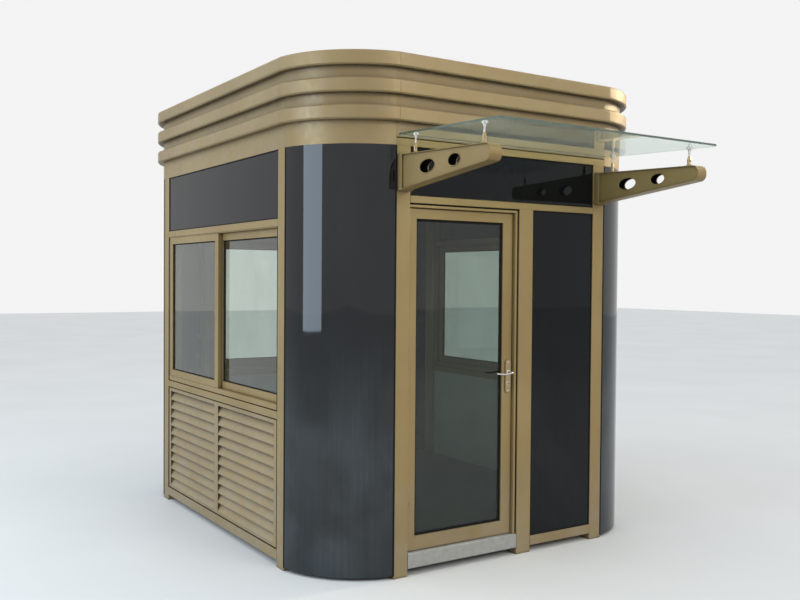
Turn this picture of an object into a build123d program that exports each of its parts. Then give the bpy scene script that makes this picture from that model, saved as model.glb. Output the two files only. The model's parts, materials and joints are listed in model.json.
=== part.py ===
from math import atan, degrees, hypot, sqrt
import os

from build123d import *

# Security guard booth: a metal frame cabin with curved dark glass corners, sliding windows over
# louvre panels, an outward opening glass door under a glass canopy, and a three-band crown.
# Millimetres. +Z is up, the door is in the front wall, which faces -Y, and the ground is Z = 0.
# The origin is on the ground, in the middle of the whole object's plan, canopy included.

# plan of the walls, measured on their outer faces
booth_width = 2620
booth_depth = 3120
corner_cut = 475  # from a sharp corner to where its curved glass starts
corner_rise = 105  # how far the curved glass stands out from its chord
glass_thickness = 10

# posts and rails
post_width = 100
post_depth = 110
rail_depth = 80
edge_bevel = 3
wall_head = 2523  # underside of the crown, top of the posts and of the upper glass
bottom_rail_gap = 42  # daylight under the bottom rails
bottom_rail_height = 61
fixed_glass_thickness = 8
fixed_glass_recess = 8
fit = 0.5  # between a piece and the opening that holds it

# front wall: door bay, mullion, sidelight, transom light
door_bay = 829
mullion_width = 115
front_rail_bottom = 2196
front_rail_height = 41
head_rail_height = 42
head_groove = 5

# door
door_recess = 30  # from the wall's face to the leaf's face
door_gap = 5
lock_gap = 7  # beside the lock stile, which swings past the frame
frame_joint = 10  # groove between the door frame and the mullion or rail
frame_face = 15
frame_recess = 8
frame_step = 14  # depth of the groove
leaf_thickness = 40
hinge_stile = 60
lock_stile = 76
leaf_rail = 85
leaf_top_rail = 59
door_glass_thickness = 12
mitre_gap = 0.3
stop_lap = 7  # of the stops behind the leaf
stop_depth = 15
threshold_height = 88
threshold_depth = 70
hinge_heights = (180, 980, 1780)  # feet, above the leaf's lower edge
knuckle_length = 52
knuckle_gap = 0.5
hinge_pin_length = 45
knuckle_radius = 8
hinge_pin_radius = 4
pin_clearance = 0.1
hinge_wing = 3
hinge_wing_width = 16

# lock and lever handle
handle_height = 1027  # lever axis above the leaf's lower edge
lock_backset = 31  # from the leaf's edge to the lever's axis
plate_width = 40
plate_height = 206
plate_thickness = 8
plate_corner = 8
plate_above_axis = 77
lever_length = 122
lever_width = 13
lever_thickness = 13
lever_sag = 7
lever_stand_off = 44
spindle_radius = 7
spindle_clearance = 1
cylinder_radius = 9
cylinder_proud = 5
cylinder_below_axis = 72

# side and back walls: louvre panel, sill, sliding window, transom light
side_rail_bottom = 2063
side_rail_height = 44
sill_bottom = 897
sill_height = 46
sealant_joint = 6
window_frame_sill = 34
window_frame_jamb = 14
window_frame_head = 6
window_frame_recess = 4
window_frame_depth = 66
sash_thickness = 28
sash_stile = 62
sash_rail = 50
sash_overlap = 50
sash_recess = 6
sash_spacing = 2
running_gap = 0.8
pane_thickness = 6
panel_joint = 8
panel_recess = 4
panel_depth = 46
panel_stile = 42
panel_top_bar = 25
panel_bottom_bar = 12
panel_mullion = 65
slat_count = 11
slat_sheet = 3
slat_lip = 8
slat_lean = 27  # how far a slat runs inwards from its lip
slat_overlap = 6
slat_recess = 1
lining_thickness = 20

# floor
deck_thickness = 20
joist_width = 60
joist_count = 5
deck_inset = 70  # deck edge behind the walls' faces
glass_foot = 20  # the corner glass stops this far above the ground

# crown
crown_thickness = 60
frieze_height = 135
band_height = 83
recess_height = 71
band_projection = 45
band_bevel = 8
crown_joint = 0.8
ceiling_thickness = 20
roof_thickness = 30
roof_sink = 40

# canopy
arm_width = 80
arm_sheet = 4
arm_top = 2468  # at the wall
arm_root_height = 205
arm_tip_height = 88
arm_reach = 845
arm_nose_round = 40
arm_panel_inset = 3  # side panels behind the edges of the wrapped plate
arm_base = 40
arm_base_lip = 2
canopy_fall = 0.033  # slope of the arms' tops and of the glass, outwards and down
slot_places = (280, 530)  # middle of each slot, from the wall
slot_lengths = (147, 112)
slot_heights = (75, 65)
standoff_near = 121  # from the wall
standoff_from_tip = 97
canopy_glass_height = 109  # from the arms' tops to the glass's underside
canopy_glass_thickness = 12
canopy_glass_overhang = 6  # beyond the arms' outer sides
canopy_glass_near = 20
canopy_glass_lead = 80  # beyond the arms' tips
canopy_corner = 30
standoff_foot_radius = 19
standoff_foot_height = 60
standoff_stem_radius = 7
standoff_disc_radius = 20
standoff_disc = 6
standoff_nut_radius = 14
standoff_nut = 11
standoff_clearance = 1

os.makedirs("parts", exist_ok=True)

# places worked out from the sizes
half_width = booth_width / 2
half_depth = booth_depth / 2
canopy_reach = arm_reach + canopy_glass_lead
plan_centre = (canopy_reach - band_projection) / 2
bay_start = corner_cut + post_width
front_clear = booth_width - 2 * bay_start
side_clear = booth_depth - 2 * bay_start
bottom_rail_top = bottom_rail_gap + bottom_rail_height
deck_top = bottom_rail_top + deck_thickness
front_rail_top = front_rail_bottom + front_rail_height
side_rail_top = side_rail_bottom + side_rail_height
sill_top = sill_bottom + sill_height
crown_top = wall_head + frieze_height + 3 * band_height + 2 * recess_height
lining_depth = panel_recess + panel_depth

# the corner's circle, from its chord and rise
chord = corner_cut * sqrt(2)
corner_radius = (chord**2 / 4 + corner_rise**2) / (2 * corner_rise)
corner_centre = corner_cut / 2 + (corner_radius - corner_rise) / sqrt(2)
kink = degrees(atan((corner_centre - corner_cut) / corner_centre))

# planes: the plan, and each wall's outer face with X to the right and Y up, seen from outside
plan = Plane((0, plan_centre, 0))
front_wall = Plane((0, plan_centre - half_depth, 0), x_dir=(1, 0, 0), z_dir=(0, -1, 0))
left_wall = Plane((-half_width, plan_centre, 0), x_dir=(0, -1, 0), z_dir=(-1, 0, 0))
back_wall = Plane((0, plan_centre + half_depth, 0), x_dir=(-1, 0, 0), z_dir=(0, 1, 0))
front_face = front_wall.origin.Y

# front wall places, from the middle of the wall
door_left = -front_clear / 2
door_right = door_left + door_bay
sidelight_left = door_right + mullion_width
sidelight_right = front_clear / 2
frame_span = frame_joint + frame_face
leaf_left = door_left + door_gap
leaf_right = door_right - frame_span - lock_gap
threshold_top = bottom_rail_gap + 2 + threshold_height
leaf_bottom = threshold_top + door_gap + 2
leaf_top = front_rail_bottom - frame_span - door_gap
leaf_face = front_face + door_recess


def area(left, right, bottom, top, mode=Mode.ADD):
    """A rectangle of the open sketch, given by its four sides."""
    with Locations(((left + right) / 2, (bottom + top) / 2)):
        Rectangle(right - left, top - bottom, mode=mode)


def plan_face(grow):
    """The booth's plan as a face about its centre, moved out by grow, curved corners included."""
    arc_end = corner_centre - sqrt((corner_radius + grow) ** 2 - (corner_centre + grow) ** 2)
    middle = corner_centre - (corner_radius + grow) / sqrt(2)
    left, front = -half_width - grow, -half_depth - grow
    with BuildSketch() as outline:
        with BuildLine():
            Line((0, front), (-half_width + arc_end, front))
            ThreePointArc(
                (-half_width + arc_end, front),
                (-half_width + middle, -half_depth + middle),
                (left, -half_depth + arc_end),
            )
            Line((left, -half_depth + arc_end), (left, 0))
            mirror(about=Plane.YZ)
            mirror(about=Plane.XZ)
        make_face()
    return outline.sketch


def save(part, name):
    """Label a finished piece and write it."""
    part.part.label = name
    export_step(part.part, f"parts/{name}.step")


# posts: two in each wall, where the curved glass meets the flat bays
def wall_posts(wall, clear):
    with BuildPart() as posts:
        with BuildSketch(wall):
            area(-clear / 2 - post_width, -clear / 2, 0, wall_head)
            area(clear / 2, clear / 2 + post_width, 0, wall_head)
        extrude(amount=-post_depth)
        upright = posts.edges().filter_by(Axis.Z)
        chamfer(upright, edge_bevel)
    return posts


front_posts = wall_posts(front_wall, front_clear)
save(front_posts, "front_posts")
left_posts = wall_posts(left_wall, side_clear)
save(left_posts, "left_posts")
with BuildPart() as right_posts:
    mirror(left_posts.part, about=Plane.YZ)
save(right_posts, "right_posts")
back_posts = wall_posts(back_wall, front_clear)
save(back_posts, "back_posts")

# curved corner glass between the posts, from just above the ground to the crown
corner_sides = {
    "front_left": (-1, -1),
    "front_right": (1, -1),
    "back_left": (-1, 1),
    "back_right": (1, 1),
}
for corner, (x_side, y_side) in corner_sides.items():
    with BuildPart() as corner_glass:
        with BuildSketch(plan.offset(glass_foot)):
            add(plan_face(0))
            add(plan_face(-glass_thickness), mode=Mode.SUBTRACT)
            reach = corner_cut - fit
            with Locations((x_side * (half_width - reach / 2), y_side * (half_depth - reach / 2))):
                Rectangle(reach, reach, mode=Mode.INTERSECT)
        extrude(amount=wall_head - glass_foot)
    save(corner_glass, f"{corner}_corner_glass")

# floor: joists between the side walls' bottom rails, and the deck on them
with BuildPart() as floor_joists:
    with BuildSketch(plan.offset(bottom_rail_gap)):
        joist_step = (side_clear - joist_width) / (joist_count - 1)
        with GridLocations(1, joist_step, 1, joist_count):
            Rectangle(booth_width - 2 * rail_depth, joist_width)
    extrude(amount=bottom_rail_height)
save(floor_joists, "floor_joists")

with BuildPart() as floor_deck:
    with BuildSketch(plan.offset(bottom_rail_top)):
        # as far as the curved glass in the corners, and short of the walls between the posts
        add(plan_face(-glass_thickness - fit))
        for clear, across, turn in (
            (front_clear, half_depth, 0),
            (side_clear, half_width, 90),
            (front_clear, half_depth, 180),
            (side_clear, half_width, 270),
        ):
            with Locations(Location((0, 0), turn)):
                with Locations((0, -across + deck_inset / 2)):
                    Rectangle(clear + 2 * post_width + 2 * fit, deck_inset, mode=Mode.SUBTRACT)
                for x in (-(clear + post_width) / 2, (clear + post_width) / 2):
                    with Locations((x, -across + post_depth / 2)):
                        Rectangle(post_width + 2 * fit, post_depth + 2 * fit, mode=Mode.SUBTRACT)
        mullion_middle = door_right + mullion_width / 2
        with Locations((mullion_middle, -half_depth + post_depth / 2)):
            Rectangle(mullion_width + 2 * fit, post_depth + 2 * fit, mode=Mode.SUBTRACT)
    extrude(amount=deck_thickness)
save(floor_deck, "floor_deck")

# front wall: transom rail, sidelight sill and head rail
with BuildPart() as front_rails:
    with BuildSketch(front_wall):
        area(door_left, sidelight_right, front_rail_bottom, front_rail_top)
    extrude(amount=-post_depth)
    with BuildSketch(front_wall):
        area(sidelight_left, sidelight_right, bottom_rail_gap, bottom_rail_top)
    extrude(amount=-rail_depth)
    with BuildSketch(front_wall):
        head_half = half_width - corner_cut
        area(-head_half, head_half, wall_head, wall_head + head_rail_height)
    extrude(amount=-crown_thickness)
save(front_rails, "front_rails")

with BuildPart() as front_mullion:
    with BuildSketch(front_wall):
        area(door_right, sidelight_left, 0, front_rail_bottom)
    extrude(amount=-post_depth)
    chamfer(front_mullion.edges().filter_by(Axis.Z), edge_bevel)
save(front_mullion, "front_mullion")

with BuildPart() as sidelight_glass:
    with BuildSketch(front_wall.offset(-fixed_glass_recess)):
        area(sidelight_left + fit, sidelight_right - fit, bottom_rail_top + fit, front_rail_bottom - fit)
    extrude(amount=-fixed_glass_thickness)
save(sidelight_glass, "sidelight_glass")

# pale threshold block under the door
with BuildPart() as threshold:
    with BuildSketch(front_wall):
        area(door_left + fit, door_right - fit, threshold_top - threshold_height, threshold_top)
    extrude(amount=-threshold_depth)
    chamfer(threshold.edges().filter_by(Axis.X), edge_bevel)
save(threshold, "threshold")

# door frame under the rail and beside the lock stile: a face strip in front of a grooved body
stop_place = door_recess + leaf_thickness + door_gap
with BuildPart() as door_frame:
    for outer, recess, back in (
        (0, frame_recess + frame_step, stop_place),
        (frame_joint, frame_recess, frame_recess + frame_step),
    ):
        with BuildSketch(front_wall.offset(-recess)):
            area(door_left, door_right - outer, front_rail_bottom - frame_span, front_rail_bottom - outer)
            area(door_right - frame_span, door_right - outer, threshold_top, front_rail_bottom - outer)
        extrude(amount=recess - back)
save(door_frame, "door_frame")

# door stops on the hinge post, the mullion and the rail, behind the leaf
with BuildPart() as door_stops:
    with BuildSketch(front_wall.offset(-stop_place)):
        area(door_left, leaf_left + stop_lap, deck_top, front_rail_bottom)
        area(leaf_right - stop_lap, door_right, deck_top, front_rail_bottom)
        area(
            leaf_left + stop_lap + mitre_gap,
            leaf_right - stop_lap - mitre_gap,
            leaf_top - stop_lap,
            front_rail_bottom,
        )
    extrude(amount=-stop_depth)
save(door_stops, "door_stops")


# mitred frames: four bars cut at 45 degrees, for the leaf and the sashes
def mitred_face(left, right, bottom, top, stile, rail, top_rail=None, right_stile=None):
    """Four mitred bars as one sketch; the joints run from outer to inner corner."""
    top_rail = top_rail or rail
    right_stile = right_stile or stile
    with BuildSketch() as bars:
        area(left, right, bottom, top)
        area(left + stile, right - right_stile, bottom + rail, top - top_rail, mode=Mode.SUBTRACT)
        for x, width in ((left, stile), (right, -right_stile)):
            for y, height in ((bottom, rail), (top, -top_rail)):
                length = 2 * (hypot(width, height) + mitre_gap)
                turn = degrees(atan(height / width))
                with Locations((x, y)):
                    Rectangle(length, mitre_gap, rotation=turn, mode=Mode.SUBTRACT)
    return bars.sketch


hinge_axis_x = door_left + 2 + knuckle_radius
hinge_axis_y = leaf_face - knuckle_radius - 2
lever_axis_x = leaf_right - lock_backset
lever_axis_z = leaf_bottom + handle_height

with BuildPart() as door_leaf:
    with BuildSketch(front_wall.offset(-door_recess)):
        widths = (hinge_stile, leaf_rail, leaf_top_rail, lock_stile)
        add(mitred_face(leaf_left, leaf_right, leaf_bottom, leaf_top, *widths))
        with Locations((lever_axis_x, lever_axis_z)):
            Circle(spindle_radius + spindle_clearance, mode=Mode.SUBTRACT)
    extrude(amount=-leaf_thickness)
save(door_leaf, "door_leaf")

glass_left = leaf_left + hinge_stile
glass_right = leaf_right - lock_stile
glass_bottom = leaf_bottom + leaf_rail
glass_top = leaf_top - leaf_top_rail
with BuildPart() as door_glass:
    with BuildSketch(front_wall.offset(-door_recess - (leaf_thickness - door_glass_thickness) / 2)):
        area(glass_left + fit, glass_right - fit, glass_bottom + fit, glass_top - fit)
    extrude(amount=-door_glass_thickness)
save(door_glass, "door_glass")

# lock plates on both faces of the leaf, with the ends of the lock cylinder
plate_middle = lever_axis_z + plate_above_axis - plate_height / 2
cylinder_z = lever_axis_z - cylinder_below_axis
with BuildPart() as lock_plates:
    for face in (
        front_wall.offset(-door_recess),
        front_wall.offset(-door_recess - leaf_thickness - plate_thickness),
    ):
        with BuildSketch(face) as plate:
            with Locations((lever_axis_x, plate_middle)):
                Rectangle(plate_width, plate_height)
            chamfer(plate.vertices(), plate_corner)
            with Locations((lever_axis_x, lever_axis_z)):
                Circle(spindle_radius + spindle_clearance, mode=Mode.SUBTRACT)
        extrude(amount=plate_thickness)
    for face in (
        front_wall.offset(-door_recess + plate_thickness),
        front_wall.offset(-door_recess - leaf_thickness - plate_thickness - cylinder_proud),
    ):
        with BuildSketch(face):
            with Locations((lever_axis_x, cylinder_z)):
                Circle(cylinder_radius)
        extrude(amount=cylinder_proud)
save(lock_plates, "lock_plates")

# lever handle: one spindle through the leaf with a slightly sagging lever on each side
with BuildSketch() as lever_bar:
    bow = ThreePointArc(
        (lever_axis_x, lever_axis_z),
        (lever_axis_x - lever_length / 2, lever_axis_z - lever_sag),
        (lever_axis_x - lever_length, lever_axis_z),
        mode=Mode.PRIVATE,
    )
    SlotArc(bow, lever_width)

with BuildPart() as door_lever:
    reach = plate_thickness + lever_stand_off
    with BuildSketch(front_wall.offset(-door_recess + reach)):
        with Locations((lever_axis_x, lever_axis_z)):
            Circle(spindle_radius)
    extrude(amount=-(2 * reach + leaf_thickness))
    for middle in (reach, -leaf_thickness - reach):
        with BuildSketch(front_wall.offset(-door_recess + middle - lever_thickness / 2)):
            add(lever_bar.sketch)
        extrude(amount=lever_thickness)
save(door_lever, "door_lever")


# lift-off hinges: lower knuckle and pin on the post, upper knuckle on the leaf
hinge_feet = [leaf_bottom + height for height in hinge_heights]
with BuildPart() as hinge_posts:
    for foot in hinge_feet:
        with BuildSketch(Plane.XY.offset(foot)):
            with Locations((hinge_axis_x, hinge_axis_y)):
                Circle(knuckle_radius)
            area(door_left, hinge_axis_x, hinge_axis_y - hinge_wing / 2, hinge_axis_y + hinge_wing / 2)
            area(
                door_left,
                door_left + hinge_wing,
                hinge_axis_y - hinge_wing_width,
                hinge_axis_y + hinge_wing / 2,
            )
        extrude(amount=knuckle_length)
        with BuildSketch(Plane.XY.offset(foot + knuckle_length)):
            with Locations((hinge_axis_x, hinge_axis_y)):
                Circle(hinge_pin_radius)
        extrude(amount=hinge_pin_length)
save(hinge_posts, "hinge_posts")

with BuildPart() as hinge_leaves:
    for foot in hinge_feet:
        with BuildSketch(Plane.XY.offset(foot + knuckle_length + knuckle_gap)):
            with Locations((hinge_axis_x, hinge_axis_y)):
                Circle(knuckle_radius)
            area(
                hinge_axis_x - hinge_wing / 2,
                hinge_axis_x + hinge_wing / 2,
                hinge_axis_y,
                leaf_face,
            )
            area(
                hinge_axis_x - hinge_wing / 2,
                hinge_axis_x + hinge_wing_width,
                leaf_face - hinge_wing,
                leaf_face,
            )
            with Locations((hinge_axis_x, hinge_axis_y)):
                Circle(hinge_pin_radius + pin_clearance, mode=Mode.SUBTRACT)
        extrude(amount=knuckle_length)
save(hinge_leaves, "hinge_leaves")

# side and back walls, each made on its own wall plane
frame_bottom = sill_top + sealant_joint
track_top = frame_bottom + window_frame_sill
sash_bottom = track_top + running_gap
sash_top = side_rail_bottom - window_frame_head - running_gap


def wall_frame(wall, clear):
    """Bottom rail, sill rail and transom rail, and the thin frame that the sashes slide in."""
    half = clear / 2
    with BuildPart() as frame:
        with BuildSketch(wall):
            area(-half, half, bottom_rail_gap, bottom_rail_top)
            area(-half, half, sill_bottom, sill_top)
            area(-half, half, side_rail_bottom, side_rail_top)
        extrude(amount=-rail_depth)
        with BuildSketch(wall.offset(-window_frame_recess)):
            frame_top = side_rail_bottom - mitre_gap
            bars = (window_frame_jamb, window_frame_sill, window_frame_head)
            add(mitred_face(-half, half, frame_bottom, frame_top, *bars))
        extrude(amount=-window_frame_depth)
    return frame


def sash_span(clear, side):
    """Left and right edge of the sash on one side of the wall's middle."""
    far = clear / 2 - window_frame_jamb - running_gap
    near = -sash_overlap / 2
    return (near, far) if side > 0 else (-far, -near)


def wall_sashes(wall, clear, outer_side):
    """Two mitred sashes in two tracks; outer_side is the side of the sash in front."""
    with BuildPart() as sashes:
        for side in (-1, 1):
            recess = sash_recess if side == outer_side else sash_recess + sash_thickness + sash_spacing
            left, right = sash_span(clear, side)
            with BuildSketch(wall.offset(-recess)):
                add(mitred_face(left, right, sash_bottom, sash_top, sash_stile, sash_rail))
            extrude(amount=-sash_thickness)
    return sashes


def wall_panes(wall, clear, outer_side):
    """The two sashes' clear panes."""
    with BuildPart() as panes:
        for side in (-1, 1):
            recess = sash_recess if side == outer_side else sash_recess + sash_thickness + sash_spacing
            recess = recess + (sash_thickness - pane_thickness) / 2
            left, right = sash_span(clear, side)
            with BuildSketch(wall.offset(-recess)):
                area(
                    left + sash_stile + fit,
                    right - sash_stile - fit,
                    sash_bottom + sash_rail + fit,
                    sash_top - sash_rail - fit,
                )
            extrude(amount=-pane_thickness)
    return panes


panel_bottom = bottom_rail_top + panel_joint
panel_top = sill_bottom - panel_joint
slat_zone = panel_top - panel_top_bar - panel_bottom - panel_bottom_bar
slat_pitch = slat_zone / slat_count


def wall_louvre(wall, clear):
    """Louvre panel: a frame in two bays with overlapping bent slats between its stiles."""
    half = clear / 2 - panel_joint
    bay_inner = panel_mullion / 2
    bay_outer = half - panel_stile
    bite = 1
    with BuildPart() as louvre:
        with BuildSketch(wall.offset(-panel_recess)):
            area(-half, half, panel_bottom, panel_top)
            for left, right in ((-bay_outer, -bay_inner), (bay_inner, bay_outer)):
                area(
                    left,
                    right,
                    panel_bottom + panel_bottom_bar,
                    panel_top - panel_top_bar,
                    mode=Mode.SUBTRACT,
                )
        extrude(amount=-panel_depth)
        for left in (-bay_outer, bay_inner):
            start = wall.from_local_coords((left - bite, 0, 0))
            # seen along the wall: X is the depth behind the wall's face, Y is up
            profile = Plane(start, x_dir=-wall.z_dir, z_dir=wall.x_dir)
            with BuildSketch(profile):
                for number in range(slat_count):
                    lip = panel_bottom + panel_bottom_bar + number * slat_pitch
                    near = panel_recess + slat_recess
                    top = lip + slat_pitch + slat_overlap
                    with BuildLine():
                        Polyline(
                            (near, lip),
                            (near, lip + slat_lip),
                            (near + slat_lean, top),
                            (near + slat_lean + slat_sheet, top),
                            (near + slat_sheet, lip + slat_lip - 1),
                            (near + slat_sheet, lip),
                            close=True,
                        )
                    make_face()
            extrude(amount=bay_outer - bay_inner + 2 * bite)
    return louvre


for side_name, wall, clear in (("left", left_wall, side_clear), ("back", back_wall, front_clear)):
    pieces = {
        "wall_frame": wall_frame(wall, clear),
        "sashes": wall_sashes(wall, clear, -1),
        "window_panes": wall_panes(wall, clear, -1),
        "louvre_panel": wall_louvre(wall, clear),
    }
    for piece_name, piece in pieces.items():
        save(piece, f"{side_name}_{piece_name}")
        if side_name == "left":
            with BuildPart() as twin:
                mirror(piece.part, about=Plane.YZ)
            save(twin, f"right_{piece_name}")

with BuildPart() as wall_linings:
    for wall, clear in ((left_wall, side_clear), (back_wall, front_clear)):
        with BuildSketch(wall.offset(-lining_depth)):
            area(-clear / 2, clear / 2, bottom_rail_top, sill_bottom)
        extrude(amount=-lining_thickness)
    left_lining = wall_linings.solids().sort_by(Axis.X)[0]
    mirror(left_lining, about=Plane.YZ)
save(wall_linings, "wall_linings")

with BuildPart() as transom_glass:
    for wall, clear, bottom in (
        (front_wall, front_clear, front_rail_top),
        (left_wall, side_clear, side_rail_top),
        (back_wall, front_clear, side_rail_top),
    ):
        with BuildSketch(wall.offset(-fixed_glass_recess)):
            area(-clear / 2 + fit, clear / 2 - fit, bottom + fit, wall_head)
        extrude(amount=-fixed_glass_thickness)
    left_pane = transom_glass.solids().sort_by(Axis.X)[0]
    mirror(left_pane, about=Plane.YZ)
save(transom_glass, "transom_glass")

# crown: an upright wall in eight lengths, with three projecting bands around it
run_x = half_width - corner_cut
run_y = half_depth - corner_cut


def crown_joints(angle, mode):
    """Hairline strips of the open sketch where straight and curved lengths meet."""
    reach = 3 * crown_thickness
    for x_side in (-1, 1):
        for y_side in (-1, 1):
            turn = x_side * y_side * angle
            with Locations((x_side * run_x, y_side * half_depth)):
                Rectangle(crown_joint, reach, rotation=-turn, mode=mode)
            with Locations((x_side * half_width, y_side * run_y)):
                Rectangle(reach, crown_joint, rotation=turn, mode=mode)


with BuildPart() as crown_wall:
    with BuildSketch(plan.offset(wall_head)):
        add(plan_face(0))
        add(plan_face(-crown_thickness), mode=Mode.SUBTRACT)
        crown_joints(0, Mode.SUBTRACT)
    extrude(amount=crown_top - wall_head)
    # the front length starts above the head rail and its shadow groove
    with BuildSketch(front_wall):
        area(-run_x, run_x, wall_head, wall_head + head_rail_height + head_groove)
    extrude(amount=-crown_thickness, mode=Mode.SUBTRACT)
save(crown_wall, "crown_wall")

for number, band_name in enumerate(("lower", "middle", "upper")):
    band_bottom = wall_head + frieze_height + number * (band_height + recess_height)
    with BuildPart() as band:
        for height, reach in (
            (0, band_projection - band_bevel),
            (band_bevel, band_projection),
            (band_height - band_bevel, band_projection),
            (band_height, band_projection - band_bevel),
        ):
            with BuildSketch(plan.offset(band_bottom + height)):
                add(plan_face(reach))
        loft(ruled=True)
        with BuildSketch(plan.offset(band_bottom)):
            add(plan_face(0))
            crown_joints(kink / 2, Mode.ADD)
        extrude(amount=band_height, mode=Mode.SUBTRACT)
    save(band, f"crown_band_{band_name}")

with BuildPart() as ceiling:
    with BuildSketch(plan.offset(wall_head)):
        add(plan_face(-crown_thickness))
    extrude(amount=ceiling_thickness)
save(ceiling, "ceiling")

with BuildPart() as roof_deck:
    with BuildSketch(plan.offset(crown_top - roof_sink - roof_thickness)):
        add(plan_face(-crown_thickness))
    extrude(amount=roof_thickness)
save(roof_deck, "roof_deck")

# canopy: two hollow tapered arms on the front posts, each a wrapped plate with side panels a
# little behind its edges, and two oval holes in each panel
arm_middle = front_clear / 2 + post_width / 2
tip_top = arm_top - canopy_fall * arm_reach
root_bottom = arm_top - arm_root_height
tip_bottom = tip_top - arm_tip_height
arm_slope = ((tip_top + tip_bottom) - (arm_top + root_bottom)) / 2 / arm_reach
arm_turn = degrees(atan(arm_slope))
standoff_places = (standoff_near, arm_reach - standoff_from_tip)
canopy_glass_width = 2 * arm_middle + arm_width + 2 * canopy_glass_overhang
# an arm seen from the left: X is the distance out from the front wall, Y is up
with BuildSketch() as arm_side:
    with BuildLine():
        Polyline(
            (0, root_bottom),
            (0, arm_top),
            (arm_reach, tip_top),
            (arm_reach, tip_bottom),
            close=True,
        )
    make_face()
    fillet(arm_side.vertices().group_by(Axis.X)[-1], arm_nose_round)

with BuildSketch() as arm_wrap:
    add(arm_side.sketch)
    offset(arm_side.sketch, amount=-arm_sheet, mode=Mode.SUBTRACT)

with BuildSketch() as arm_panel:
    offset(arm_side.sketch, amount=-arm_sheet)
    for place, length, height in zip(slot_places, slot_lengths, slot_heights):
        with Locations((place, (arm_top + root_bottom) / 2 + arm_slope * place)):
            Ellipse(length / 2, height / 2, rotation=arm_turn, mode=Mode.SUBTRACT)

with BuildPart() as canopy_arms:
    arm_plane = Plane((-arm_middle - arm_width / 2, front_face, 0), x_dir=(0, -1, 0), z_dir=(-1, 0, 0))
    with BuildSketch(arm_plane):
        add(arm_wrap.sketch)
    extrude(amount=-arm_width)
    for inset in (arm_panel_inset, arm_width - arm_panel_inset - arm_sheet):
        with BuildSketch(arm_plane.offset(-inset)):
            add(arm_panel.sketch)
        extrude(amount=-arm_sheet)
    with BuildSketch(front_wall):
        with Locations((-arm_middle, (arm_top + root_bottom) / 2)):
            Rectangle(arm_width + 2 * arm_base_lip, arm_root_height + 2 * arm_base_lip)
    extrude(amount=arm_base)
    mirror(canopy_arms.part, about=Plane.YZ)
save(canopy_arms, "canopy_arms")

# standoffs: a turned foot, a stem, a clamping disc under the glass and a cap nut above it
slope = sqrt(1 + canopy_fall**2)


def arm_seat(x, place):
    """A plane on an arm's top, square to it, at a distance out from the wall."""
    height = arm_top - canopy_fall * place
    return Plane((x, front_face - place, height), x_dir=(1, 0, 0), z_dir=(0, -canopy_fall, 1))


glass_under = canopy_glass_height - fit / 2
glass_over = canopy_glass_height + canopy_glass_thickness + fit / 2
with BuildPart() as canopy_standoffs:
    for x in (-arm_middle, arm_middle):
        for place in standoff_places:
            seat = arm_seat(x, place)
            with BuildSketch(seat):
                Circle(standoff_foot_radius)
            extrude(amount=standoff_foot_height)
            with BuildSketch(seat.offset(glass_under - standoff_disc)):
                Circle(standoff_disc_radius)
            extrude(amount=standoff_disc)
            with BuildSketch(seat.offset(glass_over)):
                RegularPolygon(standoff_nut_radius, 6)
            extrude(amount=standoff_nut)
            with BuildSketch(seat.offset(standoff_foot_height)):
                RegularPolygon(standoff_stem_radius, 6)
            extrude(amount=glass_over - standoff_foot_height)
save(canopy_standoffs, "canopy_standoffs")

with BuildPart() as canopy_glass:
    # the glass's underside, with its origin at the front wall and Y back towards it
    underside = arm_top + canopy_glass_height * slope
    glass_plane = Plane((0, front_face, underside), x_dir=(1, 0, 0), z_dir=(0, -canopy_fall, 1))
    far = canopy_reach * slope - canopy_glass_thickness * canopy_fall
    with BuildSketch(glass_plane):
        area(-canopy_glass_width / 2, canopy_glass_width / 2, -far, -canopy_glass_near * slope)
        for x in (-arm_middle, arm_middle):
            for place in standoff_places:
                bolt = glass_plane.to_local_coords(arm_seat(x, place).offset(canopy_glass_height).origin)
                with Locations((bolt.X, bolt.Y)):
                    Circle(standoff_stem_radius + standoff_clearance, mode=Mode.SUBTRACT)
    extrude(amount=canopy_glass_thickness)
    through = canopy_glass.edges().filter_by(Axis(glass_plane.origin, glass_plane.z_dir))
    fillet(through.group_by(Axis.Y)[0], canopy_corner)
save(canopy_glass, "canopy_glass")
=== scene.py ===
# the security guard booth in its studio: camera, finishes, added pieces, sky, floor and lamps
import json
from math import cos, pi, radians, sin, tan

import bmesh
import bpy
from mathutils import Matrix, Vector


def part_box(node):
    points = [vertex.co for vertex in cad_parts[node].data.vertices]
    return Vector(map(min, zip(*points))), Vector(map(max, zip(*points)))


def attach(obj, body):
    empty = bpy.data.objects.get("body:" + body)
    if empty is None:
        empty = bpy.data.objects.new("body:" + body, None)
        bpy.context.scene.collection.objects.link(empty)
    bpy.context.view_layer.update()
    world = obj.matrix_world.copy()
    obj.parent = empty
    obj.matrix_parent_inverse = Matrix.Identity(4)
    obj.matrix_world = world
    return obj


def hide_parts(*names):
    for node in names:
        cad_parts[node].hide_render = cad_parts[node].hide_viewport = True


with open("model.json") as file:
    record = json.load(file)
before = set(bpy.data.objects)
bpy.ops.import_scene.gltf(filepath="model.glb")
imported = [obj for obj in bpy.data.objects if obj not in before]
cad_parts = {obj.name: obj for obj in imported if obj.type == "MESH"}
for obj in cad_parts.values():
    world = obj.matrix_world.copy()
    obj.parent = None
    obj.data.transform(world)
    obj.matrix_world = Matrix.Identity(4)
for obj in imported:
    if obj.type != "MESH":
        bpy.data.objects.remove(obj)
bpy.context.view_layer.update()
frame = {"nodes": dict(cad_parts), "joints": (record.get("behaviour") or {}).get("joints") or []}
nodes = frame["nodes"]


scene = bpy.context.scene
scene.view_settings.view_transform = "Standard"

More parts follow.
